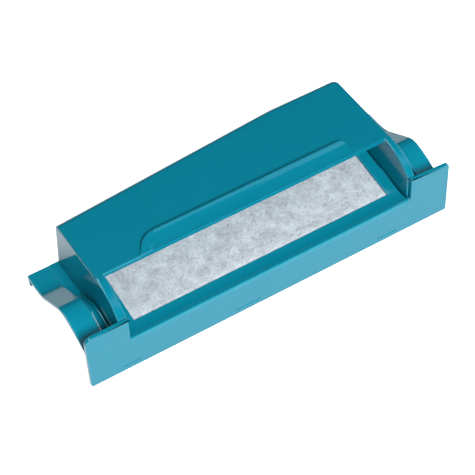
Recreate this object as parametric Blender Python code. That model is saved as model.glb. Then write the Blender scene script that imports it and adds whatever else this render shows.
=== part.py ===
# Chalkboard eraser with a dust chamber: a frame with a long front plate, two saddle-shaped ears and
# a sloping deck that holds a white fleece strip; a hinged hood over the back of the deck; and a felt
# pad on a clip-in tray underneath. X runs along the plate, +Y to the back, +Z up, sizes in millimetres.
import math

import bmesh
import bpy
from mathutils import Matrix, Vector

MM = 0.001
DEPTH_MID = 27.65       # half of the overall depth, puts the part's middle on Y = 0
PLATE_FOOT = 2.0        # height of the plate's lower edge above the surface the felt rests on

HALF_LEN = 75.0         # half of the front plate's length
PLATE_T = 1.7
WING_H = 25.2
WING_DIP = 1.2          # how much lower the right wing ends
MID_H = 15.0
WING_IN = 58.3          # inner edge of each wing
EAR_OUT = {-1: 74.2, 1: 73.3}   # outer edge of the left and the right ear
EAR_BACK = 48.0
EAR_IN = 65.8           # inner edge of the raised saddle, beside the groove
EAR_T = 1.6
SIDE_OUT = 57.5         # outer face of the frame's side walls
WALL_T = 2.0
FRAME_BACK = 44.5
CHEEK_IN = 57.9         # inner face of the hood's end walls
HOOD_FRONT = 17.0
HOOD_TOP = 32.4
HOOD_T = 2.0
HOOD_FOOT = 6.2
HINGE_Y = 53.0
HINGE_Z = 3.4
BARREL_R = 2.2
PIN_R = 1.0
GAP = 0.3
COVE = 2.5              # radius of the rib's hollow curve
COVE_IN = 62.2          # its face beside the hood
FLEECE_X = 52.7
FLEECE_Y0 = 7.4
FLEECE_Y1 = 30.8
FELT_H = 3.4
FELT_COUNT = 5
FELT_W = 6.7
FELT_PITCH = 7.9
FELT_HALF_LEN = 54.0

TEAL = (0.010, 0.235, 0.330)
WHITE = (0.62, 0.65, 0.68)
GREY = (0.23, 0.24, 0.25)
STEEL = (0.60, 0.60, 0.58)

EAR_TOP = [(1.0, 13.6), (2.5, 14.6), (4.5, 16.0), (7.5, 17.6), (10.5, 19.0), (14.0, 20.2), (17.5, 21.0),
           (20.0, 20.9), (22.3, 20.1), (35.6, 12.2), (38.0, 11.5), (41.0, 11.15), (EAR_BACK, 11.1)]
GROOVE_TOP = [(1.0, 9.6), (6.0, 11.8), (10.0, 13.4), (14.0, 14.9), (17.5, 15.6), (20.5, 15.3), (24.0, 14.0),
              (30.0, 11.8), (36.0, 11.0), (41.0, 11.1), (EAR_BACK, 11.1)]
CHEEK_TOP = [(HOOD_FRONT, 32.4), (13.5, 31.8), (10.5, 30.9), (7.5, 29.6), (5.0, 27.9), (3.2, 26.3), (2.0, 25.0)]


def clear_scene():
    for ob in list(bpy.data.objects):
        bpy.data.objects.remove(ob, do_unlink=True)


def make_material(name, colour, roughness, metallic=0.0):
    mat = bpy.data.materials.new(name)
    mat.use_nodes = True
    shader = mat.node_tree.nodes["Principled BSDF"]
    shader.inputs["Base Color"].default_value = (*colour, 1.0)
    shader.inputs["Roughness"].default_value = roughness
    shader.inputs["Metallic"].default_value = metallic
    mat.diffuse_color = (*colour, 1.0)
    return mat


def place(x, y, z):
    return Vector((x * MM, (y - DEPTH_MID) * MM, (z + PLATE_FOOT) * MM))


def mesh_object(name, bm):
    bmesh.ops.remove_doubles(bm, verts=bm.verts, dist=1e-7)
    bmesh.ops.recalc_face_normals(bm, faces=bm.faces)
    me = bpy.data.meshes.new(name)
    bm.to_mesh(me)
    bm.free()
    ob = bpy.data.objects.new(name, me)
    bpy.context.collection.objects.link(ob)
    return ob


def loft(name, rings):
    """A closed solid through rings of points that all have the same count."""
    bm = bmesh.new()
    rows = []
    for ring in rings:
        rows.append([bm.verts.new(p) for p in ring])
    count = len(rows[0])
    for low, high in zip(rows, rows[1:]):
        for i in range(count):
            j = (i + 1) % count
            bm.faces.new((low[i], low[j], high[j], high[i]))
    bm.faces.new(rows[0])
    bm.faces.new(rows[-1])
    return mesh_object(name, bm)


def prism_x(name, pts, x0, x1):
    return loft(name, [[place(x, y, z) for y, z in pts] for x in (x0, x1)])


def prism_y(name, pts, y0, y1):
    return loft(name, [[place(x, y, z) for x, z in pts] for y in (y0, y1)])


def prism_z(name, pts, z0, z1):
    return loft(name, [[place(x, y, z) for x, y in pts] for z in (z0, z1)])


def box(name, x0, x1, y0, y1, z0, z1):
    return prism_z(name, [(x0, y0), (x1, y0), (x1, y1), (x0, y1)], z0, z1)


def rod_x(name, y, z, r, x0, x1, n=24):
    pts = []
    for i in range(n):
        a = 2 * math.pi * i / n
        pts.append((y + r * math.cos(a), z + r * math.sin(a)))
    return prism_x(name, pts, x0, x1)


def combine(target, tools, operation):
    """Applies one Boolean after another and removes the tools."""
    for tool in tools:
        mod = target.modifiers.new("cut", "BOOLEAN")
        mod.solver = "EXACT"
        mod.operation = operation
        mod.object = tool
        bpy.context.view_layer.update()
        graph = bpy.context.evaluated_depsgraph_get()
        me = bpy.data.meshes.new_from_object(target.evaluated_get(graph))
        target.modifiers.clear()
        old = target.data
        target.data = me
        bpy.data.meshes.remove(old)
        bpy.data.objects.remove(tool, do_unlink=True)
    return target


def finish(ob, name, mat, smooth=False):
    ob.name = name
    ob.data.name = name
    bm = bmesh.new()
    bm.from_mesh(ob.data)
    bmesh.ops.remove_doubles(bm, verts=bm.verts, dist=2e-6)
    bmesh.ops.dissolve_degenerate(bm, edges=bm.edges, dist=1e-7)
    bmesh.ops.recalc_face_normals(bm, faces=bm.faces)
    bm.to_mesh(ob.data)
    bm.free()
    ob.data.materials.clear()
    ob.data.materials.append(mat)
    if smooth:
        ob.data.polygons.foreach_set("use_smooth", [True] * len(ob.data.polygons))
    return ob


def set_origin(ob, point):
    ob.data.transform(Matrix.Translation(-point))
    ob.location = point


def rounded(points, radii, n=6):
    """Rounds each corner of a polygon with an arc of n + 1 points."""
    out = []
    count = len(points)
    for i in range(count):
        p = Vector(points[i])
        a = (Vector(points[i - 1]) - p).normalized()
        b = (Vector(points[(i + 1) % count]) - p).normalized()
        r = radii[i]
        if r <= 0:
            out.append((p.x, p.y))
            continue
        half = math.acos(max(-1, min(1, a.dot(b)))) / 2
        reach = r / math.tan(half)
        mid = (a + b).normalized() * (r / math.sin(half))
        centre = p + mid
        start = p + a * reach - centre
        end = p + b * reach - centre
        turn = math.atan2(start.x * end.y - start.y * end.x, start.dot(end))
        for k in range(n + 1):
            t = turn * k / n
            c = math.cos(t)
            s = math.sin(t)
            out.append((centre.x + c * start.x - s * start.y, centre.y + s * start.x + c * start.y))
    return out


def below(profile, drop):
    return [(y, z - drop) for y, z in profile]


def deck_top(y):
    """Height of the sloping deck: it dips gently behind the plate, then a ramp, then level."""
    stops = [(0.0, 15.0), (1.7, 14.95), (3.4, 14.72), (5.2, 14.6), (7.0, 14.62), (31.0, 18.2), (34.0, 18.6), (50.0, 18.6)]
    for (y0, z0), (y1, z1) in zip(stops, stops[1:]):
        if y <= y1:
            return z0 + (z1 - z0) * (y - y0) / (y1 - y0)
    return stops[-1][1]


def ear(side):
    """One saddle: a sheet beside the side wall, with a raised outer strip and a turned-down back edge."""
    out = EAR_OUT[side]
    low, high = sorted((side * (SIDE_OUT - 1.0), side * (out - 0.4)))
    floor = prism_x("floor", GROOVE_TOP + below(GROOVE_TOP, EAR_T)[::-1], low, high)
    low, high = sorted((side * EAR_IN, side * out))
    strip = EAR_TOP + below(EAR_TOP, EAR_T)[::-1]
    saddle = prism_x("saddle", strip, low, high)
    low, high = sorted((side * EAR_IN, side * (EAR_IN + EAR_T)))
    web = prism_x("web", below(EAR_TOP, 0.4) + below(GROOVE_TOP, EAR_T)[::-1], low, high)
    low, high = sorted((side * (CHEEK_IN + 4.6), side * out))
    hem = prism_x("hem", [(EAR_BACK - 1.4, 11.1), (EAR_BACK, 11.1), (EAR_BACK, 7.2), (EAR_BACK - 1.4, 6.2)], low, high)
    low, high = sorted((side * (EAR_IN + EAR_T + 0.0), side * (out + 1.0)))
    under = prism_x("under", below(EAR_TOP[:10], EAR_T) + [(35.6, 5.0), (1.6, 5.0)], low, high)
    low, high = sorted((side * (SIDE_OUT - 2.0), side * (SIDE_OUT + 0.5)))
    corner = box("corner", low, high, FRAME_BACK + 0.4, 50.0, 5.0, 15.0)
    root = combine(floor, [under, corner], "DIFFERENCE")
    return combine(root, [saddle, web, hem, cove(side)], "UNION")


def cove(side):
    """A hollow-curved rib along the gutter, which the hood's end wall comes down behind."""
    rings = []
    for y, z in [(1.0, 9.6), (6.0, 11.8), (10.0, 13.4), (14.0, 14.9), (17.5, 15.6), (20.5, 15.3), (24.0, 14.0), (29.0, 12.2)]:
        reach = min(COVE, 0.2 * COVE + 0.12 * (29.0 - y))
        ring = [(COVE_IN, z - 0.6), (COVE_IN, z + reach)]
        for step in range(7):
            turn = math.radians(15.0 * step)
            ring.append((COVE_IN + 0.35 + reach * (1 - math.cos(turn)), z + reach * (1 - math.sin(turn))))
        ring.append((COVE_IN + 0.35 + reach, z - 0.6))
        rings.append([place(side * x, y, h) for x, h in ring])
    return loft("cove", rings)


def front_plate():
    pts = [(-HALF_LEN, 0), (HALF_LEN, 0), (HALF_LEN, WING_H - WING_DIP), (WING_IN, WING_H), (WING_IN, MID_H),
           (-WING_IN, MID_H), (-WING_IN, WING_H), (-HALF_LEN, WING_H)]
    outline = rounded(pts, [0.8, 0.8, 1.4, 0.6, 0.6, 0.6, 0.6, 3.0])
    plate = prism_y("plate", outline, 0.0, PLATE_T)
    marks = []
    for x0, x1 in ((-62.3, -55.3), (-16.2, -6.8), (44.0, 52.0)):
        marks.append(box("mark", x0, x1, -1.0, 0.2, 2.0, 3.4))
    return combine(plate, marks, "DIFFERENCE")


def frame_shell(mat):
    tops = [0.9, 1.7, 3.4, 5.2, 7.0, 31.0, 34.0, FRAME_BACK]
    outer = [(y, deck_top(y)) for y in tops] + [(FRAME_BACK, 0.0), (0.9, 0.0)]
    body = prism_x("body", outer, -SIDE_OUT, SIDE_OUT)
    thick = 3.8
    inner = [(y, deck_top(y) - thick) for y in (PLATE_T, 5.0, 7.0, 31.0, 34.0, FRAME_BACK - 1.8)]
    inner += [(FRAME_BACK - 1.8, -2.0), (PLATE_T, -2.0)]
    hollow = prism_x("hollow", inner, -(SIDE_OUT - WALL_T), SIDE_OUT - WALL_T)
    ramp = [(FLEECE_Y0 - GAP, deck_top(FLEECE_Y0 - GAP) + 6), (FLEECE_Y0 - GAP, deck_top(FLEECE_Y0 - GAP) - 2.6),
            (FLEECE_Y1 + GAP, deck_top(FLEECE_Y1 + GAP) - 2.6), (FLEECE_Y1 + GAP, deck_top(FLEECE_Y1 + GAP) + 6)]
    pocket = prism_x("pocket", ramp, -(FLEECE_X + GAP), FLEECE_X + GAP)
    window = box("window", -49.0, 49.0, 10.5, 28.0, 5.0, 30.0)
    body = combine(body, [hollow, pocket, window], "DIFFERENCE")
    adds = [front_plate(), ear(-1), ear(1)]
    for x0, x1 in ((-56.0, -50.0), (50.0, 56.0)):
        for y0, y1 in ((1.0, 5.0), (39.4, 43.5)):
            adds.append(box("stop", x0, x1, y0, y1, 9.3, 12.5))
    for centre in (-40.0, 40.0):
        adds.append(prism_x("arm", [(FRAME_BACK - 0.8, 1.2), (HINGE_Y, 1.2), (HINGE_Y, 5.6), (FRAME_BACK - 0.8, 5.6)],
                            centre - 2.6, centre + 2.6))
        adds.append(rod_x("knuckle", HINGE_Y, HINGE_Z, BARREL_R, centre - 2.6, centre + 2.6))
    body = combine(body, adds, "UNION")
    holes = [rod_x("hole", HINGE_Y, HINGE_Z, PIN_R + 0.08, c - 4.0, c + 4.0) for c in (-40.0, 40.0)]
    body = combine(body, holes, "DIFFERENCE")
    return finish(body, "frame_shell", mat)


def fleece_strip(mat):
    ys = (FLEECE_Y0, FLEECE_Y1)
    pts = [(y, deck_top(y) - 2.3) for y in ys] + [(y, deck_top(y) - 0.3) for y in ys[::-1]]
    return finish(prism_x("fleece", pts, -FLEECE_X, FLEECE_X), "fleece_strip", mat)


def fleece_grid(mat):
    def slab(y0, y1, drop_top, drop_bottom, half):
        pts = [(y0, deck_top(y0) - drop_top), (y1, deck_top(y1) - drop_top),
               (y1, deck_top(y1) - drop_bottom), (y0, deck_top(y0) - drop_bottom)]
        return prism_x("slab", pts, -half, half)
    grid = slab(10.8, 27.7, 2.6, 5.1, 48.7)
    grid = combine(grid, [slab(8.8, 29.6, 4.1, 5.3, 51.0)], "UNION")
    slots = []
    for i in range(15):
        x = -44.1 + 6.3 * i
        slots.append(box("slot", x - 2.1, x + 2.1, 12.4, 18.4, 5.0, 25.0))
        slots.append(box("slot", x - 2.1, x + 2.1, 20.0, 26.0, 5.0, 25.0))
    grid = combine(grid, slots, "DIFFERENCE")
    return finish(grid, "fleece_grid", mat)


def hinge_pin(name, centre, mat):
    pin = rod_x("pin", HINGE_Y, HINGE_Z, PIN_R, centre - 6.8, centre + 6.8)
    return finish(pin, name, mat, smooth=False)


def hood_ring(z, inset_side=0.0, inset_back=0.0, front=2.0, n=6):
    """The hood's outline at height z; it gets deeper towards the right and then runs parallel."""
    half = 61.5 - 0.04 * max(0.0, z - 11.0) - inset_side
    lean = 0.05 * (z - 12.4) + inset_back
    left = 47.9 - lean
    right = 55.0 - lean
    pts = [(-half - 0.4, front), (half, front), (half, right), (31.5, right), (-half - 0.4, left)]
    return rounded(pts, [0, 0, 3.2 - min(inset_back, 1.2), 60.0, 1.2 - min(inset_back, 0.5)], n)


def hood_outer():
    rings = []
    round_back = 3.4
    round_side = 1.0
    heights = [HOOD_FOOT, 12.0, 20.0, HOOD_TOP - round_back]
    heights += [HOOD_TOP - round_back * (1 - math.sin(math.radians(a))) for a in (20, 38, 52, 64, 75, 83, 90)]
    for z in heights:
        u = max(0.0, (z - (HOOD_TOP - round_back)) / round_back)
        w = max(0.0, (z - (HOOD_TOP - round_side)) / round_side)
        back = round_back * (1 - math.sqrt(max(0.0, 1 - u * u)))
        side = round_side * (1 - math.sqrt(max(0.0, 1 - w * w)))
        rings.append([place(x, y, z) for x, y in hood_ring(z, side, back)])
    return loft("outer", rings)


def hood_inner():
    rings = []
    for z in (HOOD_FOOT - 3.0, 12.0, HOOD_TOP - HOOD_T):
        lean = 0.05 * (z - 12.4) + HOOD_T
        pts = [(-CHEEK_IN, 0.0), (CHEEK_IN, 0.0), (CHEEK_IN, 55.0 - lean), (31.5, 55.0 - lean), (-CHEEK_IN, 47.6 - lean)]
        rings.append([place(x, y, z) for x, y in rounded(pts, [0, 0, 1.0, 60.0, 0.6])])
    return loft("inner", rings)


def grip_outline(inset, front):
    pts = [(-43.6 + inset, front), (45.2 - inset, front), (44.0 - inset, 24.4 - inset), (-38.0 + inset * 0.4, 24.4 - inset)]
    return rounded(pts, [0, 0, 2.6 - inset * 0.6, 9.0 - inset], 8)


def grip_rise():
    """The finger lip's rim: upright at its foot, then rolled over inwards to a soft crown."""
    rings = [(0.0, 31.2), (0.0, 33.55), (0.08, 33.8), (0.25, 34.0), (0.5, 34.14), (0.8, 34.2)]
    return loft("grip", [[place(x, y, z) for x, y in grip_outline(inset, HOOD_FRONT)] for inset, z in rings])


def grip_dish():
    """The hollow inside the rim, which slopes gently down to the dish's floor and runs out at the right."""
    front = HOOD_FRONT - 3.0
    rings = []
    for inset, z in [(4.6, 31.9), (3.5, 32.55), (1.0, 34.0), (0.85, 34.3), (0.85, 36.0)]:
        back = 24.4 - inset
        pts = [(-43.6 + inset, front), (48.0, front), (48.0, back), (-38.0 + inset * 0.4, back)]
        rings.append([place(x, y, z) for x, y in rounded(pts, [0, 0, 0, 9.0 - inset], 8)])
    return loft("dish", rings)


def lid_shell(mat):
    shell = combine(hood_outer(), [hood_inner()], "DIFFERENCE")
    open_front = box("open", -CHEEK_IN, CHEEK_IN, -1.0, HOOD_FRONT, 0.0, 40.0)
    sky = [(y, z) for y, z in CHEEK_TOP] + [(0.0, 24.0), (0.0, 45.0), (HOOD_FRONT, 45.0)]
    cheek_cut = prism_x("sky", sky, -70.0, 70.0)
    cuts = [open_front, cheek_cut]
    for side in (-1, 1):
        low, high = sorted((side * (SIDE_OUT + 0.2), side * 64.0))
        pts = [(y, z + GAP) for y, z in GROOVE_TOP[:-1]] + [(EAR_BACK + 0.6, 11.4), (EAR_BACK + 0.6, 0.0), (0.0, 0.0)]
        cuts.append(prism_x("under", pts, low, high))
    shell = combine(shell, cuts, "DIFFERENCE")
    grip = grip_rise()
    taper = prism_x("taper", [(10.0, 31.5), (HOOD_FRONT, 32.75), (23.6, 34.07), (25.0, 34.35), (25.0, 38.0), (10.0, 38.0)], -60.0, 60.0)
    grip = combine(grip, [taper], "DIFFERENCE")
    ramp = [(10.0, 30.6), (10.0, 36.0), (24.0, 36.0), (24.0, 33.5), (21.2, 33.0), (HOOD_FRONT, 32.25)]
    dish = grip_dish()
    wedge = prism_x("wedge", ramp, -60.0, 60.0)
    dish = combine(dish, [wedge], "INTERSECT")
    grip = combine(grip, [dish], "DIFFERENCE")
    adds = [grip]
    for centre in (-40.0, 40.0):
        for x0, x1 in ((centre - 7.0, centre - 3.0), (centre + 3.0, centre + 7.0)):
            adds.append(rod_x("barrel", HINGE_Y, HINGE_Z, BARREL_R, x0, x1))
            wall = 48.7 if centre < 0 else 54.6
            web = [(wall - 1.7, 10.0), (wall - 0.6, 10.0), (HINGE_Y + 2.1, 3.6), (HINGE_Y, 1.4), (HINGE_Y - 2.1, 3.2),
                   (wall - 1.7, 6.4)]
            adds.append(prism_x("web", web, x0, x1))
    shell = combine(shell, adds, "UNION")
    holes = [rod_x("hole", HINGE_Y, HINGE_Z, PIN_R + 0.08, c - 9.0, c + 9.0) for c in (-40.0, 40.0)]
    shell = combine(shell, holes, "DIFFERENCE")
    ob = finish(shell, "lid_shell", mat)
    set_origin(ob, place(0, HINGE_Y, HINGE_Z))
    return ob


def felt_y(i):
    mid = (PLATE_T + FRAME_BACK - 1.8) / 2
    return mid + (i - (FELT_COUNT - 1) / 2) * FELT_PITCH


def pad_tray(mat):
    base = FELT_H + GAP - PLATE_FOOT
    y0 = PLATE_T + 0.4
    y1 = FRAME_BACK - 1.8 - 0.4
    tray = box("tray", -55.1, 55.1, y0, y1, base, 9.0)
    well = box("well", -53.6, 53.6, y0 + 1.5, y1 - 1.5, base + 1.8, 12.0)
    cuts = [well]
    for i in range(FELT_COUNT - 1):
        mid = (felt_y(i) + felt_y(i + 1)) / 2
        for x0, x1 in ((-50.0, -18.0), (-16.0, 16.0), (18.0, 50.0)):
            cuts.append(box("slot", x0, x1, mid - 0.6, mid + 0.6, base - 1.0, base + 3.0))
    tray = combine(tray, cuts, "DIFFERENCE")
    hooks = []
    for x0, x1 in ((-47.0, -40.0), (-4.0, 4.0), (40.0, 47.0)):
        hooks.append(box("hook", x0, x1, y0, y0 + 1.5, 8.0, 9.7))
        hooks.append(box("hook", x0, x1, y1 - 1.5, y1, 8.0, 9.7))
    tray = combine(tray, hooks, "UNION")
    return finish(tray, "pad_tray", mat)


def felt_strip(i, mat):
    y = felt_y(i)
    pts = [(-FELT_HALF_LEN, y - FELT_W / 2), (FELT_HALF_LEN, y - FELT_W / 2),
           (FELT_HALF_LEN, y + FELT_W / 2), (-FELT_HALF_LEN, y + FELT_W / 2)]
    strip = prism_z("felt", rounded(pts, [1.2] * 4, 3), -PLATE_FOOT, FELT_H - PLATE_FOOT)
    return finish(strip, "felt_strip_%d" % (i + 1), mat)


def build():
    clear_scene()
    teal = make_material("teal_plastic", TEAL, 0.25)
    teal_lid = make_material("teal_plastic_lid", TEAL, 0.25)
    teal_grid = make_material("teal_plastic_grid", TEAL, 0.35)
    teal_tray = make_material("teal_plastic_tray", TEAL, 0.35)
    fleece = make_material("white_fleece", WHITE, 0.95)
    felt = make_material("grey_felt", GREY, 0.95)
    steel = make_material("bright_steel", STEEL, 0.3, 1.0)
    frame_shell(teal)
    fleece_strip(fleece)
    fleece_grid(teal_grid)
    hinge_pin("hinge_pin_left", -40.0, steel)
    hinge_pin("hinge_pin_right", 40.0, steel)
    lid_shell(teal_lid)
    pad_tray(teal_tray)
    for i in range(FELT_COUNT):
        felt_strip(i, felt)


build()
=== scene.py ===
# %% [markdown]
# # A moulded chalkboard eraser
# This lesson dresses a imported CAD model of a chalkboard eraser. The eraser is a teal plastic frame
# with a long front plate, two saddle-shaped ears and a sloping deck. A white fleece strip lies in
# the deck, a hinged hood covers its back, and a felt pad clips in underneath.
# We load the CAD model and write down the few numbers that several pieces share.

# %% Load the CAD model
import math
import random

import bmesh
import bpy
from mathutils import Matrix, Vector


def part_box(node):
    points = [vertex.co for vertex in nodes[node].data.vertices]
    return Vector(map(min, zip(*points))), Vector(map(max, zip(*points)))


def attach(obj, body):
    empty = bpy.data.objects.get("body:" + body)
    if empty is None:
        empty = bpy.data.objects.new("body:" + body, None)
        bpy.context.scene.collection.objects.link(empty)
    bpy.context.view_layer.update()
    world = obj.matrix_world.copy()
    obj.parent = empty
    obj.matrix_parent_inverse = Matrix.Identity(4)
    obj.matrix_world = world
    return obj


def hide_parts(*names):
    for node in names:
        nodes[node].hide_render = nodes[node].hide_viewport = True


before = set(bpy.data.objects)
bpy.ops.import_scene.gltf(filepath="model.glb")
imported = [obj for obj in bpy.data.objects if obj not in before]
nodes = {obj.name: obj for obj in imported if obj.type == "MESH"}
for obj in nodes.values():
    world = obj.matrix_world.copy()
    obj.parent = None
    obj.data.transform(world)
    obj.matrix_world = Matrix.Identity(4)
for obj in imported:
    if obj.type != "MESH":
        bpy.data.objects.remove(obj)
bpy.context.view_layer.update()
MM = 0.001

# %% [markdown]
# ## Camera
# A small part looks natural through a long lens held well above it: the long edges stay nearly
# parallel, and the hood, the sloping deck and the left end can all be seen at once. The camera
# is also rolled two degrees, as a hand-set tripod often is.

# %% Camera
LENS = 125.8
CAMERA_PLACE = (-0.1947, -0.3471, 0.4655)
CAMERA_TURN = (40.878, 1.937, -31.645)
camera_data = bpy.data.cameras.new("camera")
camera_data.lens = LENS
camera_data.sensor_width = 36.0
camera_data.clip_start = 0.01
camera = bpy.data.objects.new("camera", camera_data)
bpy.context.scene.collection.objects.link(camera)
camera.location = CAMERA_PLACE
camera.rotation_euler = [math.radians(a) for a in CAMERA_TURN]
bpy.context.scene.camera = camera
print("camera is", round(camera.location.length / MM), "mm from the part")


# %% [markdown]
# ## Small helpers for making pieces
# Operators work on whatever is selected, so every piece is started by clearing the selection.
# Applying a piece's place and modifiers straight away leaves it at the origin, unturned, which is
# what the later steps expect.

# %% Selecting and starting pieces
def deselect():
    if bpy.context.object and bpy.context.object.mode != "OBJECT":
        bpy.ops.object.mode_set(mode="OBJECT")
    bpy.ops.object.select_all(action="DESELECT")


def make_active(piece):
    deselect()
    piece.select_set(True)
    bpy.context.view_layer.objects.active = piece


def apply_place(piece):
    make_active(piece)
    bpy.ops.object.transform_apply(location=True, rotation=True, scale=True)


def apply_modifiers(piece):
    make_active(piece)
    for modifier in list(piece.modifiers):
        bpy.ops.object.modifier_apply(modifier=modifier.name)


def triangles(piece):
    piece.data.calc_loop_triangles()
    return len(piece.data.loop_triangles)


# %% [markdown]
# ## A table that shows no shadow
# The part lies on a sheet of paper over a light table. To the camera the paper glows fully white,
# which hides the shadow and the horizon. Everything else sees a dimmer glow: glossy plastic mirrors
# the table in its upright faces, and a table at full strength would wash their colour out. The
# Light Path node tells the two apart. A plain white floor would do too, but keeps a grey shadow.

# %% Floor
deselect()
bpy.ops.mesh.primitive_plane_add(size=6.0, location=(0.0, 0.0, 0.0))
floor = bpy.context.object
floor.name = "floor"
floor_paint = bpy.data.materials.new("pale_paper")
floor_paint.use_nodes = True
floor_shader = floor_paint.node_tree.nodes["Principled BSDF"]
floor_shader.inputs["Base Color"].default_value = (0.60, 0.60, 0.60, 1.0)
floor_shader.inputs["Emission Color"].default_value = (1.0, 1.0, 1.0, 1.0)
floor_shader.inputs["Roughness"].default_value = 0.8
PAPER_SEEN = 1.0
PAPER_GLOW = 0.45
seen = floor_paint.node_tree.nodes.new("ShaderNodeLightPath")
glow = floor_paint.node_tree.nodes.new("ShaderNodeMix")
glow.data_type = "FLOAT"
glow.inputs["A"].default_value = PAPER_GLOW
glow.inputs["B"].default_value = PAPER_SEEN
floor_paint.node_tree.links.new(seen.outputs["Is Camera Ray"], glow.inputs["Factor"])
floor_paint.node_tree.links.new(glow.outputs["Result"], floor_shader.inputs["Emission Strength"])
floor.data.materials.append(floor_paint)

# %% [markdown]
# ## Soft light from the front, and three cards to mirror
# The Standard view keeps a clean white white and a saturated teal saturated; the default filmic
# curve greys both. A big soft light in front gives the shape. Glossy plastic doubles every lamp
# as a highlight, so that light is hidden from reflections, and the highlights are placed by three
# cards that light nothing: one in front for the rolled edges, one overhead on the left for the
# hollow rib in the gutter, and a small one on the right for the edge of the hood's end wall. The
# room itself lights the part but is nearly black when mirrored, so the level hood top keeps its
# deep colour.

# %% Soft studio light
bpy.context.scene.view_settings.view_transform = "Standard"
world = bpy.data.worlds.new("studio")
bpy.context.scene.world = world
world.use_nodes = True
room = world.node_tree.nodes["Background"]
room.inputs["Color"].default_value = (1.0, 1.0, 1.0, 1.0)
ROOM_LIGHT = 0.38
ROOM_MIRRORED = 0.03
ray = world.node_tree.nodes.new("ShaderNodeLightPath")
dim = world.node_tree.nodes.new("ShaderNodeMix")
dim.data_type = "FLOAT"
dim.inputs["A"].default_value = ROOM_LIGHT
dim.inputs["B"].default_value = ROOM_MIRRORED
world.node_tree.links.new(ray.outputs["Is Glossy Ray"], dim.inputs["Factor"])
world.node_tree.links.new(dim.outputs["Result"], room.inputs["Strength"])
CENTRE = Vector((0.0, 0.0, 0.015))


def soft_light(name, place, width, height, power):
    data = bpy.data.lights.new(name, "AREA")
    data.shape = "RECTANGLE"
    data.size = width
    data.size_y = height
    data.energy = power
    lamp = bpy.data.objects.new(name, data)
    bpy.context.scene.collection.objects.link(lamp)
    lamp.location = place
    lamp.rotation_euler = (CENTRE - Vector(place)).to_track_quat("-Z", "Y").to_euler()
    print(name, "stands", round((CENTRE - Vector(place)).length, 2), "m away")
    return lamp


key = soft_light("key_light", (-0.10, -1.08, 0.98), 0.5, 0.5, 38.0)
key.visible_glossy = False
front_card = soft_light("front_card", (0.32, -0.42, 0.86), 0.45, 0.45, 0.5)
front_card.visible_diffuse = False
rib_card = soft_light("rib_card", (-0.475, 0.25, 1.125), 0.8, 0.8, 14.0)
rib_card.visible_diffuse = False
right_card = soft_light("right_card", (1.0, 0.12, 0.26), 0.25, 0.25, 1.2)
right_card.visible_diffuse = False


# %% [markdown]
# ## Teal moulded plastic
# The frame, hood, grid and tray are injection mouldings in one glossy teal. Real mouldings aren't
# perfectly even: the gloss wavers over a few millimetres, fine sink and flow marks bend the
# highlights, and handling leaves hair scratches. The rounded edges are mixed towards a paler teal,
# partly as rubbing wear and partly as a painted highlight along their rounding.
# Each effect is a node group with named sockets, so every teal part can take its own amount.

# %% Node helpers
def new_group(name, inputs, outputs):
    group = bpy.data.node_groups.new(name, "ShaderNodeTree")
    for label, kind, value in inputs:
        socket = group.interface.new_socket(name=label, in_out="INPUT", socket_type=kind)
        if value is not None:
            socket.default_value = value
    for label, kind in outputs:
        group.interface.new_socket(name=label, in_out="OUTPUT", socket_type=kind)
    start = group.nodes.new("NodeGroupInput")
    end = group.nodes.new("NodeGroupOutput")
    return group, start, end


def math_node(tree, operation, a, b=None, clamp=False):
    made = tree.nodes.new("ShaderNodeMath")
    made.operation = operation
    made.use_clamp = clamp
    for socket, value in zip(made.inputs, (a, b)):
        if value is None:
            continue
        if isinstance(value, (int, float)):
            socket.default_value = value
        else:
            tree.links.new(value, socket)
    return made.outputs[0]


def noise(tree, coords, scale, detail=2.0, roughness=0.5):
    made = tree.nodes.new("ShaderNodeTexNoise")
    made.inputs["Scale"].default_value = scale
    made.inputs["Detail"].default_value = detail
    made.inputs["Roughness"].default_value = roughness
    tree.links.new(coords, made.inputs["Vector"])
    return made.outputs["Fac"]


# %% Plastic surface group
def build_moulded_surface():
    group, start, end = new_group(
        "moulded_surface",
        [
            ("Waviness", "NodeSocketFloat", 0.5),
            ("Scuffing", "NodeSocketFloat", 0.5),
            ("Gloss", "NodeSocketFloat", 0.22),
        ],
        [("Height", "NodeSocketFloat"), ("Roughness", "NodeSocketFloat"), ("Tone", "NodeSocketFloat")],
    )
    links = group.links
    coords = group.nodes.new("ShaderNodeTexCoord").outputs["Object"]
    broad = noise(group, coords, 55.0, 1.0)
    fine = noise(group, coords, 900.0, 2.0)
    stretch = group.nodes.new("ShaderNodeMapping")
    stretch.inputs["Scale"].default_value = (60.0, 2600.0, 1500.0)
    links.new(coords, stretch.inputs["Vector"])
    scratch = noise(group, stretch.outputs["Vector"], 1.0, 3.0, 0.6)
    hairs = math_node(group, "GREATER_THAN", scratch, 0.68)
    patches = noise(group, coords, 30.0, 3.0, 0.6)
    hairs_here = math_node(group, "MULTIPLY", hairs, math_node(group, "GREATER_THAN", patches, 0.55))
    wave = math_node(group, "MULTIPLY", broad, start.outputs["Waviness"])
    grain = math_node(group, "MULTIPLY", fine, 0.02)
    depth = math_node(group, "MULTIPLY", start.outputs["Scuffing"], -0.03)
    dents = math_node(group, "MULTIPLY", hairs_here, depth)
    height = math_node(group, "ADD", math_node(group, "ADD", wave, grain), dents)
    links.new(height, end.inputs["Height"])
    uneven = math_node(group, "MULTIPLY", math_node(group, "SUBTRACT", patches, 0.5), 0.06)
    rough = math_node(group, "ADD", start.outputs["Gloss"], uneven)
    rough = math_node(group, "ADD", rough, math_node(group, "MULTIPLY", hairs_here, 0.15), clamp=True)
    links.new(rough, end.inputs["Roughness"])
    tone = math_node(group, "ADD", math_node(group, "MULTIPLY", patches, 0.06), 0.97)
    links.new(tone, end.inputs["Tone"])
    return group


moulded_surface = build_moulded_surface()
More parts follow.
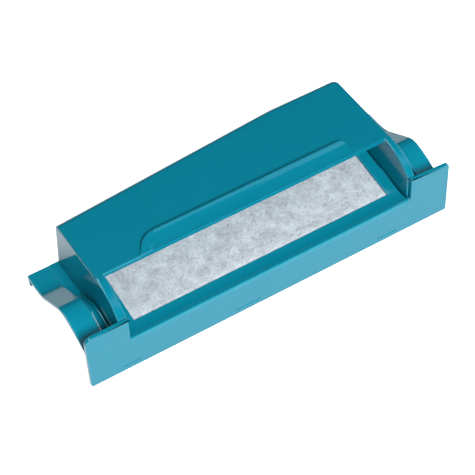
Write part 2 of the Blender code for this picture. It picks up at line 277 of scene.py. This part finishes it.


# %% Edge wear and painted highlight group
# Pales the rounded edges, broken up by noise: partly rubbing wear, partly a painted highlight.
def build_edge_wear_and_highlight():
    group, start, end = new_group(
        "edge_wear_and_highlight",
        [("Amount", "NodeSocketFloat", 0.5)],
        [("Wear And Highlight", "NodeSocketFloat")],
    )
    edge = group.nodes.new("ShaderNodeAttribute")
    edge.attribute_name = "rounded_edge"
    coords = group.nodes.new("ShaderNodeTexCoord").outputs["Object"]
    broken = math_node(group, "ADD", noise(group, coords, 320.0, 3.0), 0.25)
    here = math_node(group, "MULTIPLY", edge.outputs["Fac"], broken)
    wear_and_highlight_mask = math_node(group, "MULTIPLY", here, start.outputs["Amount"], clamp=True)
    group.links.new(wear_and_highlight_mask, end.inputs["Wear And Highlight"])
    return group


edge_wear_and_highlight = build_edge_wear_and_highlight()


# %% Teal plastic
def teal_plastic(name, colour, gloss, waviness, wear_and_highlight):
    material = bpy.data.materials.new(name)
    material.use_nodes = True
    tree = material.node_tree
    shader = tree.nodes["Principled BSDF"]
    surface = tree.nodes.new("ShaderNodeGroup")
    surface.node_tree = moulded_surface
    surface.inputs["Waviness"].default_value = waviness
    surface.inputs["Gloss"].default_value = gloss
    wear_and_highlight_mask = tree.nodes.new("ShaderNodeGroup")
    wear_and_highlight_mask.node_tree = edge_wear_and_highlight
    wear_and_highlight_mask.inputs["Amount"].default_value = wear_and_highlight
    tint = tree.nodes.new("ShaderNodeMix")
    tint.data_type = "RGBA"
    tint.blend_type = "MULTIPLY"
    tint.inputs["Factor"].default_value = 1.0
    tint.inputs["A"].default_value = (*colour, 1.0)
    tree.links.new(surface.outputs["Tone"], tint.inputs["B"])
    # The rounded edges are mixed towards this paler teal, partly as wear and partly as a painted highlight.
    pale = tree.nodes.new("ShaderNodeMix")
    pale.data_type = "RGBA"
    pale.inputs["B"].default_value = (0.10, 0.44, 0.55, 1.0)
    tree.links.new(wear_and_highlight_mask.outputs["Wear And Highlight"], pale.inputs["Factor"])
    tree.links.new(tint.outputs["Result"], pale.inputs["A"])
    tree.links.new(pale.outputs["Result"], shader.inputs["Base Color"])
    tree.links.new(surface.outputs["Roughness"], shader.inputs["Roughness"])
    bump = tree.nodes.new("ShaderNodeBump")
    bump.inputs["Strength"].default_value = 0.35
    bump.inputs["Distance"].default_value = 0.00012
    tree.links.new(surface.outputs["Height"], bump.inputs["Height"])
    tree.links.new(bump.outputs["Normal"], shader.inputs["Normal"])
    shader.inputs["IOR"].default_value = 1.46
    return material


# The last value pales the edges, partly as wear and partly as a painted highlight.
POLISHED = {"gloss": 0.12, "waviness": 0.12, "wear_and_highlight": 0.12}
INSIDE = {"gloss": 0.28, "waviness": 0.5, "wear_and_highlight": 0.1}
# The hood's teal is a darker copy of the frame's: painted shade on its level top, as both are one plastic.
teal_hood_painted_shade = teal_plastic("teal_plastic_hood_painted_shade", (0.001, 0.138, 0.202), **POLISHED)
teal_frame = teal_plastic("teal_plastic_frame", (0.0015, 0.155, 0.224), **POLISHED)
teal_inner = teal_plastic("teal_plastic_inner", (0.0015, 0.145, 0.230), **INSIDE)
print("teal plastics:", teal_hood_painted_shade.name, teal_frame.name, teal_inner.name)


# %% [markdown]
# ## Mouldings with rounded edges
# A moulded part has no knife edges. The CAD solids do, so each moulding is a merged copy of its
# CAD solid whose flat faces are joined back together and whose edges then get a small radius.
# The radius comes from a bevel limited by edge weight: an edge's weight is its own radius over the
# widest one. Clamping is off, because one tight spot would make every radius smaller. The bevel's
# faces take a second material slot, which is read once into an attribute and then dropped; the
# edge wear and painted highlight effect looks at that attribute. Weighted normals keep the flat
# faces looking flat. A subdivided cage would give rounder corners, at the price of modelling every
# moulding again.

# %% Round the edges of a moulding
def merged_copy(node_name, piece_name):
    piece = nodes[node_name].copy()
    piece.data = nodes[node_name].data.copy()
    piece.name = piece_name
    piece.data.name = piece_name
    piece.parent = None
    bpy.context.scene.collection.objects.link(piece)
    make_active(piece)
    bpy.ops.object.mode_set(mode="EDIT")
    bpy.ops.mesh.select_all(action="SELECT")
    bpy.ops.mesh.remove_doubles(threshold=0.00001)
    bpy.ops.mesh.dissolve_limited(angle_limit=math.radians(0.4))
    bpy.ops.mesh.select_all(action="SELECT")
    bpy.ops.mesh.vert_connect_concave()
    bpy.ops.object.mode_set(mode="OBJECT")
    return piece


def mark_rounded_edges(piece):
    mesh = piece.data
    mark = mesh.attributes.new("rounded_edge", "FLOAT", "FACE")
    mark.data.foreach_set("value", [float(face.material_index) for face in mesh.polygons])
    mesh.polygons.foreach_set("material_index", [0] * len(mesh.polygons))
    mesh.materials.pop(index=1)


SHARP = math.radians(28.0)


def weigh_edges(piece, radius, widest, special):
    """Each sharp edge gets its own radius: the usual one, or what special(middle, edge) says."""
    shape = bmesh.new()
    shape.from_mesh(piece.data)
    weight = shape.edges.layers.float.new("bevel_weight_edge")
    for edge in shape.edges:
        if len(edge.link_faces) == 2 and edge.calc_face_angle() > SHARP:
            middle = (edge.verts[0].co + edge.verts[1].co) / 2
            own = special(middle, edge) if special else None
            edge[weight] = (radius if own is None else own) / widest
    shape.to_mesh(piece.data)
    shape.free()


def moulding(node_name, piece_name, body, radius, material, widest=None, special=None):
    widest = widest or radius
    piece = merged_copy(node_name, piece_name)
    piece.data.materials.clear()
    piece.data.materials.append(material)
    piece.data.materials.append(material)
    weigh_edges(piece, radius, widest, special)
    bevel = piece.modifiers.new("round", "BEVEL")
    bevel.width = widest
    bevel.segments = 3
    bevel.limit_method = "WEIGHT"
    bevel.use_clamp_overlap = False
    bevel.material = 1
    apply_modifiers(piece)
    mark_rounded_edges(piece)
    bpy.ops.object.shade_smooth_by_angle(angle=math.radians(40.0))
    even = piece.modifiers.new("even", "WEIGHTED_NORMAL")
    even.weight = 100
    even.keep_sharp = True
    apply_modifiers(piece)
    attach(piece, body)
    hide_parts(node_name)
    reach = [[round(f(v.co[i] for v in piece.data.vertices) / MM, 2) for i in range(3)] for f in (min, max)]
    print(piece_name, triangles(piece), "triangles, reaching", reach)
    return piece


# %% [markdown]
# ## Frame and hood
# These two are the visible shells. Most of their edges take the usual radius of a third of a
# millimetre or so. The exceptions are picked by where an edge lies: the front edge of the ledge is
# rolled over widely, and small details would be swallowed by the usual radius.

# %% Frame and hood
plate_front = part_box("frame_shell")[0].y
WIDE_EDGE = 1.5 * MM         # the rolled edge between the plate and the ledge
MARK_EDGE = 0.06 * MM        # the shallow moulding marks near the plate's foot
FINE_EDGE = 0.12 * MM        # corners and the finger lip, which are small themselves
WING_INNER = 58.3 * MM       # where each wing meets the lower middle of the plate
WING_TOP = 27.2 * MM
PLATE_END = 75.0 * MM
TOUCHING = 0.01 * MM


def frame_edge(middle, edge):
    """The long edge between the wings is rolled over; the marks and the tight corners stay crisp."""
    on_front = max(v.co.y for v in edge.verts) < plate_front + TOUCHING
    level = abs(edge.verts[0].co.z - edge.verts[1].co.z) < TOUCHING
    if on_front and level and abs(middle.x) < WING_INNER - 0.3 * MM and middle.z > 15.0 * MM:
        return WIDE_EDGE
    if middle.y < plate_front + 0.3 * MM and middle.z < 6.0 * MM and abs(middle.x) < PLATE_END - 5.0 * MM:
        return MARK_EDGE
    at_foot_corner = abs(middle.x) > PLATE_END - 1.5 * MM and middle.z < 4.5 * MM
    from_wing_corner = abs(middle.x) - WING_INNER
    at_wing_corner = -0.9 * MM < from_wing_corner < 1.1 * MM and middle.z > WING_TOP - 1.2 * MM
    if middle.y < plate_front + 2.0 * MM and (at_foot_corner or at_wing_corner):
        return FINE_EDGE
    return None


LIP_LEFT = -43.7 * MM
LIP_RIGHT = 45.6 * MM
LIP_BACK = -2.9 * MM
LIP_FOOT = 33.9 * MM
HOOD_FRONT = -10.6 * MM


def hood_edge(middle, edge):
    """The finger lip is only two millimetres high, so its edges take a much finer radius.
    The hinge arms stay as moulded: their thin webs have no room for a radius."""
    if middle.y > 18.0 * MM and middle.z < 14.0 * MM and 32.0 * MM < abs(middle.x) < 48.0 * MM:
        return 0.0
    if abs(middle.x) < LIP_RIGHT and middle.y < LIP_BACK and middle.z > LIP_FOOT:
        on_front = max(v.co.y for v in edge.verts) < HOOD_FRONT
        beside_lip = min(v.co.x for v in edge.verts) < LIP_LEFT
        return None if on_front and beside_lip else FINE_EDGE
    return None


FRAME_RADIUS = 0.35 * MM
HOOD_RADIUS = 0.40 * MM
moulding("frame_shell", "frame_moulding", "frame", FRAME_RADIUS, teal_frame, WIDE_EDGE, frame_edge)
moulding("lid_shell", "hood_moulding", "lid", HOOD_RADIUS, teal_hood_painted_shade, HOOD_RADIUS, hood_edge)

# %% [markdown]
# ## Grid and tray
# The grid behind the fleece lets chalk dust fall into the chamber, and the tray carries the felt.
# Both are the same teal in a duller finish, because nobody polishes the inside of a mould.

# %% Grid and tray
moulding("fleece_grid", "fleece_grid_moulding", "frame", 0.15 * MM, teal_inner)
moulding("pad_tray", "pad_tray_moulding", "pad", 0.20 * MM, teal_inner)

# %% [markdown]
# ## Steel hinge pins
# Each hinge turns on a short length of drawn steel wire with its ends tumbled round. A cylinder is
# enough to start with: two bevels round its ends, and a brushed-metal shader does the rest.

# %% Steel
bright_steel = bpy.data.materials.new("bright_steel_wire")
bright_steel.use_nodes = True
steel_tree = bright_steel.node_tree
steel_shader = steel_tree.nodes["Principled BSDF"]
steel_shader.inputs["Metallic"].default_value = 1.0
steel_shader.inputs["Base Color"].default_value = (0.62, 0.62, 0.60, 1.0)
steel_coords = steel_tree.nodes.new("ShaderNodeTexCoord").outputs["Object"]
drawn = steel_tree.nodes.new("ShaderNodeMapping")
drawn.inputs["Scale"].default_value = (120.0, 3000.0, 3000.0)
steel_tree.links.new(steel_coords, drawn.inputs["Vector"])
lines = noise(steel_tree, drawn.outputs["Vector"], 1.0, 3.0)
steel_rough = math_node(steel_tree, "ADD", math_node(steel_tree, "MULTIPLY", lines, 0.25), 0.18)
steel_tree.links.new(steel_rough, steel_shader.inputs["Roughness"])


# %% Pins
def hinge_pin(node_name, piece_name):
    low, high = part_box(node_name)
    middle = (low + high) / 2
    radius = (high.z - low.z) / 2
    deselect()
    bpy.ops.mesh.primitive_cylinder_add(
        vertices=32,
        radius=radius,
        depth=high.x - low.x,
        location=middle,
        rotation=(0.0, math.radians(90.0), 0.0),
    )
    pin = bpy.context.object
    pin.name = piece_name
    apply_place(pin)
    bpy.ops.object.mode_set(mode="EDIT")
    bpy.ops.mesh.select_mode(type="EDGE")
    bpy.ops.mesh.select_all(action="DESELECT")
    shape = bmesh.from_edit_mesh(pin.data)
    for edge in shape.edges:
        ends = [v.co.x for v in edge.verts]
        edge.select = abs(ends[0] - ends[1]) < 0.01 * MM
    bmesh.update_edit_mesh(pin.data)
    bpy.ops.mesh.bevel(offset=0.35 * radius, segments=4)
    bpy.ops.object.mode_set(mode="OBJECT")
    bpy.ops.object.shade_smooth_by_angle(angle=math.radians(40.0))
    pin.data.materials.append(bright_steel)
    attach(pin, "frame")
    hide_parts(node_name)
    print(piece_name, triangles(pin), "triangles")
    return pin


hinge_pin("hinge_pin_left", "hinge_wire_left")
hinge_pin("hinge_pin_right", "hinge_wire_right")

# %% [markdown]
# ## Fibres
# Fleece and felt are both masses of fine fibre. A bump map alone looks like sandpaper, so each soft
# piece is a lumpy core with loose fibres lying over it. A fibre is a three-sided tube through a few
# points that wander sideways and lift at the ends: eleven faces each, so thousands are cheap.

# %% Fibre material
def build_fibre_speckle():
    group, start, end = new_group(
        "fibre_speckle",
        [
            ("Light", "NodeSocketColor", (0.60, 0.65, 0.68, 1.0)),
            ("Dark", "NodeSocketColor", (0.30, 0.33, 0.36, 1.0)),
            ("Grain Size", "NodeSocketFloat", 1100.0),
        ],
        [("Color", "NodeSocketColor"), ("Height", "NodeSocketFloat")],
    )
    coords = group.nodes.new("ShaderNodeTexCoord").outputs["Object"]
    grain = group.nodes.new("ShaderNodeTexNoise")
    grain.inputs["Detail"].default_value = 4.0
    grain.inputs["Roughness"].default_value = 0.7
    group.links.new(coords, grain.inputs["Vector"])
    group.links.new(start.outputs["Grain Size"], grain.inputs["Scale"])
    clumps = noise(group, coords, 240.0, 3.0, 0.6)
    both = math_node(group, "MULTIPLY", math_node(group, "ADD", grain.outputs["Fac"], clumps), 0.5)
    spread = group.nodes.new("ShaderNodeMapRange")
    spread.inputs["From Min"].default_value = 0.38
    spread.inputs["From Max"].default_value = 0.62
    group.links.new(both, spread.inputs["Value"])
    mix = group.nodes.new("ShaderNodeMix")
    mix.data_type = "RGBA"
    group.links.new(spread.outputs["Result"], mix.inputs["Factor"])
    group.links.new(start.outputs["Dark"], mix.inputs["A"])
    group.links.new(start.outputs["Light"], mix.inputs["B"])
    group.links.new(mix.outputs["Result"], end.inputs["Color"])
    group.links.new(both, end.inputs["Height"])
    return group


fibre_speckle = build_fibre_speckle()


def fibre_material(name, light, dark, grain_size, bump_depth):
    material = bpy.data.materials.new(name)
    material.use_nodes = True
    tree = material.node_tree
    shader = tree.nodes["Principled BSDF"]
    speckle = tree.nodes.new("ShaderNodeGroup")
    speckle.node_tree = fibre_speckle
    speckle.inputs["Light"].default_value = (*light, 1.0)
    speckle.inputs["Dark"].default_value = (*dark, 1.0)
    speckle.inputs["Grain Size"].default_value = grain_size
    tree.links.new(speckle.outputs["Color"], shader.inputs["Base Color"])
    bump = tree.nodes.new("ShaderNodeBump")
    bump.inputs["Strength"].default_value = 0.8
    bump.inputs["Distance"].default_value = bump_depth
    tree.links.new(speckle.outputs["Height"], bump.inputs["Height"])
    tree.links.new(bump.outputs["Normal"], shader.inputs["Normal"])
    shader.inputs["Roughness"].default_value = 0.9
    shader.inputs["Specular IOR Level"].default_value = 0.2
    shader.inputs["Sheen Weight"].default_value = 0.15
    return material


CORE_BUMP = 0.3 * MM
FIBRE_BUMP = 0.1 * MM
# The fleece core takes darker copies of its fibres' colours: painted shade beneath and between the loose
# fibres.
fleece_core_painted_shade_stuff = fibre_material(
    "white_fleece_core", (0.435, 0.485, 0.52), (0.27, 0.305, 0.335), 1500.0, CORE_BUMP
)
fleece_fibre_stuff = fibre_material(
    "white_fleece_fibre", (0.52, 0.565, 0.605), (0.34, 0.385, 0.41), 800.0, FIBRE_BUMP
)
# The felt core is likewise darker than its nap: painted shade beneath the fibres.
felt_core_painted_shade_stuff = fibre_material("grey_felt_core", (0.20, 0.21, 0.22), (0.10, 0.105, 0.11), 1400.0, CORE_BUMP)
felt_fibre_stuff = fibre_material(
    "grey_felt_fibre", (0.30, 0.31, 0.32), (0.16, 0.165, 0.17), 700.0, FIBRE_BUMP
)


# %% Scatter loose fibres
def loose_fibres(name, count, spot, up, reach, radius, lift, seed):
    """spot(rng) gives a starting point, up is the way the surface faces and reach holds the
    shortest and longest fibre."""
    rng = random.Random(seed)
    verts = []
    faces = []
    steps = 3
    sides = 3
    side_a = up.orthogonal().normalized()
    side_b = up.cross(side_a)
    for _ in range(count):
        turn = rng.uniform(0.0, 2.0 * math.pi)
        bend = rng.uniform(-1.6, 1.6)
        length = rng.uniform(*reach)
        at = spot(rng)
        path = []
        for k in range(steps + 1):
            t = k / steps
            heading = turn + bend * (t - 0.5)
            path.append(at + up * lift * (rng.uniform(0.2, 1.0) + 0.8 * abs(t - 0.5)))
            at = at + (side_a * math.cos(heading) + side_b * math.sin(heading)) * (length / steps)
        base = len(verts)
        for k, point in enumerate(path):
            ahead = (path[min(k + 1, steps)] - path[max(k - 1, 0)]).normalized()
            across = ahead.cross(up).normalized()
            over = across.cross(ahead)
            thin = radius * (0.6 if k in (0, steps) else 1.0)
            for corner in range(sides):
                angle = 2.0 * math.pi * corner / sides
                verts.append(point + (across * math.cos(angle) + over * math.sin(angle)) * thin)
        for k in range(steps):
            for corner in range(sides):
                a = base + sides * k + corner
                b = base + sides * k + (corner + 1) % sides
                faces.append((a, a + sides, b + sides, b))
        last = base + sides * steps
        faces.append((base, base + 1, base + 2))
        faces.append((last, last + 2, last + 1))
    mesh = bpy.data.meshes.new(name)
    mesh.from_pydata(verts, [], faces)
    piece = bpy.data.objects.new(name, mesh)
    bpy.context.scene.collection.objects.link(piece)
    make_active(piece)
    bpy.ops.object.mode_set(mode="EDIT")
    bpy.ops.mesh.select_all(action="SELECT")
    bpy.ops.mesh.normals_make_consistent(inside=False)
    bpy.ops.object.mode_set(mode="OBJECT")
    bpy.ops.object.shade_smooth()
    print(name, count, "fibres,", triangles(piece), "triangles")
    return piece


# %% [markdown]
# ## Fleece strip
# The strip is non-woven polyester wadding about 2 mm thick, cut to fill its pocket in the sloping
# deck and stuck to the grid. It could be a cloth simulation, but a strip glued flat neither hangs
# nor swells. A fine grid lifted by two sizes of soft noise, and drawn down a little at its
# cut edges, gives the same lumpy loft.

# %% Lay the fleece core
fleece_low, fleece_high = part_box("fleece_strip")
FLEECE_THICK = 2.0 * MM
POCKET_SPARE = 0.22 * MM     # how far the fleece squeezes out towards the pocket's walls
fleece_rise = (fleece_high.z - fleece_low.z) - FLEECE_THICK
fleece_run = fleece_high.y - fleece_low.y
fleece_tilt = math.atan2(fleece_rise, fleece_run)
fleece_up = Vector((0.0, -math.sin(fleece_tilt), math.cos(fleece_tilt)))
fleece_along = Vector((0.0, math.cos(fleece_tilt), math.sin(fleece_tilt)))
fleece_top_mid = Vector((0.0, (fleece_low.y + fleece_high.y) / 2, fleece_high.z - fleece_rise / 2))
fleece_half_x = (fleece_high.x - fleece_low.x) / 2 + POCKET_SPARE
fleece_half_y = fleece_run / math.cos(fleece_tilt) / 2 + POCKET_SPARE
print("fleece slopes", round(math.degrees(fleece_tilt), 1), "degrees")

deselect()
bpy.ops.mesh.primitive_grid_add(
    x_subdivisions=150,
    y_subdivisions=34,
    size=2.0,
    location=fleece_top_mid,
    rotation=(fleece_tilt, 0.0, 0.0),
)
fleece_core = bpy.context.object
fleece_core.name = "fleece_core"
fleece_core.scale = (fleece_half_x, fleece_half_y, 1.0)
apply_place(fleece_core)


def add_loft(piece, size, height):
    texture = bpy.data.textures.new(piece.name + "_loft", "CLOUDS")
    texture.noise_scale = size
    texture.noise_depth = 1
    lumps = piece.modifiers.new("lumps", "DISPLACE")
    lumps.texture = texture
    lumps.texture_coords = "LOCAL"
    lumps.strength = height
    lumps.mid_level = 0.5


add_loft(fleece_core, 4.5 * MM, 0.15 * MM)
add_loft(fleece_core, 0.6 * MM, 0.22 * MM)
apply_modifiers(fleece_core)
EDGE_PULL = 0.45 * MM
EDGE_REACH = 1.6 * MM
for vertex in fleece_core.data.vertices:
    from_mid = vertex.co - fleece_top_mid
    inset = min(fleece_half_x - abs(from_mid.x), fleece_half_y - abs(from_mid.dot(fleece_along)))
    near = max(0.0, 1.0 - inset / EDGE_REACH)
    vertex.co -= fleece_up * EDGE_PULL * near * near
body_of_fleece = fleece_core.modifiers.new("thickness", "SOLIDIFY")
body_of_fleece.thickness = FLEECE_THICK - 0.4 * MM
body_of_fleece.offset = -1.0
apply_modifiers(fleece_core)
bpy.ops.object.shade_smooth_by_angle(angle=math.radians(50.0))
fleece_core.data.materials.append(fleece_core_painted_shade_stuff)
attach(fleece_core, "frame")
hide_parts("fleece_strip")
print("fleece_core", triangles(fleece_core), "triangles")


# %% Lay the fleece's loose fibres
def fleece_spot(rng):
    half_x = fleece_half_x - 1.2 * MM
    half_y = fleece_half_y * 0.93
    sideways = Vector((rng.uniform(-1.0, 1.0) * half_x, 0.0, 0.0))
    return fleece_top_mid + sideways + fleece_along * (rng.uniform(-1.0, 1.0) * half_y)


fleece_fibres = loose_fibres(
    "fleece_fibres",
    count=8600,
    spot=fleece_spot,
    up=fleece_up,
    reach=(0.4 * MM, 1.3 * MM),
    radius=0.036 * MM,
    lift=0.13 * MM,
    seed=7,
)
fleece_fibres.data.materials.append(fleece_fibre_stuff)
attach(fleece_fibres, "frame")

# %% [markdown]
# ## Felt wiping strips
# Underneath, five strips of pressed wool felt do the wiping. One strip is modelled as a rounded,
# slightly uneven bar with a thin nap of fibres on its wiping face, then copied to each place.

# %% Felt strips
first_low, first_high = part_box("felt_strip_1")
felt_middle = (first_low + first_high) / 2
deselect()
bpy.ops.mesh.primitive_cube_add(size=1.0, location=felt_middle)
felt_bar = bpy.context.object
felt_bar.name = "felt_bar_1"
felt_bar.scale = first_high - first_low
apply_place(felt_bar)
felt_round = felt_bar.modifiers.new("round", "BEVEL")
felt_round.width = 0.7 * MM
felt_round.segments = 3
apply_modifiers(felt_bar)
for axis, cuts in ((0, 90), (1, 7), (2, 3)):
    bpy.ops.object.mode_set(mode="EDIT")
    bpy.ops.mesh.select_mode(type="EDGE")
    bpy.ops.mesh.select_all(action="DESELECT")
    shape = bmesh.from_edit_mesh(felt_bar.data)
    half_length = (first_high[axis] - first_low[axis]) / 2
    for edge in shape.edges:
        edge.select = abs(edge.verts[0].co[axis] - edge.verts[1].co[axis]) > half_length
    bmesh.update_edit_mesh(felt_bar.data)
    bpy.ops.mesh.subdivide(number_cuts=cuts)
    bpy.ops.object.mode_set(mode="OBJECT")
add_loft(felt_bar, 2.5 * MM, 0.25 * MM)
apply_modifiers(felt_bar)
bpy.ops.object.shade_smooth_by_angle(angle=math.radians(50.0))
felt_bar.data.materials.append(felt_core_painted_shade_stuff)


NAP_DEPTH = 0.30 * MM


def felt_spot(rng):
    return Vector((
        felt_middle.x + rng.uniform(-0.98, 0.98) * (first_high.x - first_low.x) / 2 * 0.99,
        felt_middle.y + rng.uniform(-0.9, 0.9) * (first_high.y - first_low.y) / 2,
        first_low.z + NAP_DEPTH,
    ))


felt_nap = loose_fibres(
    "felt_nap_1",
    count=420,
    spot=felt_spot,
    up=Vector((0.0, 0.0, -1.0)),
    reach=(1.0 * MM, 2.4 * MM),
    radius=0.06 * MM,
    lift=0.15 * MM,
    seed=11,
)
felt_nap.data.materials.append(felt_fibre_stuff)

# The first bar itself is attached last, after its copies are made.
FELT_BARS = 5
for number in range(FELT_BARS, 0, -1):
    low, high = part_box("felt_strip_%d" % number)
    step = low - first_low
    for master, stem in ((felt_bar, "felt_bar"), (felt_nap, "felt_nap")):
        piece = master
        if number > 1:
            piece = master.copy()
            piece.data = master.data.copy()
            piece.name = "%s_%d" % (stem, number)
            bpy.context.scene.collection.objects.link(piece)
            piece.data.transform(Matrix.Translation(step))
        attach(piece, "pad")
        if stem == "felt_bar":
            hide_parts("felt_strip_%d" % number)
print("felt bar", triangles(felt_bar), "triangles")
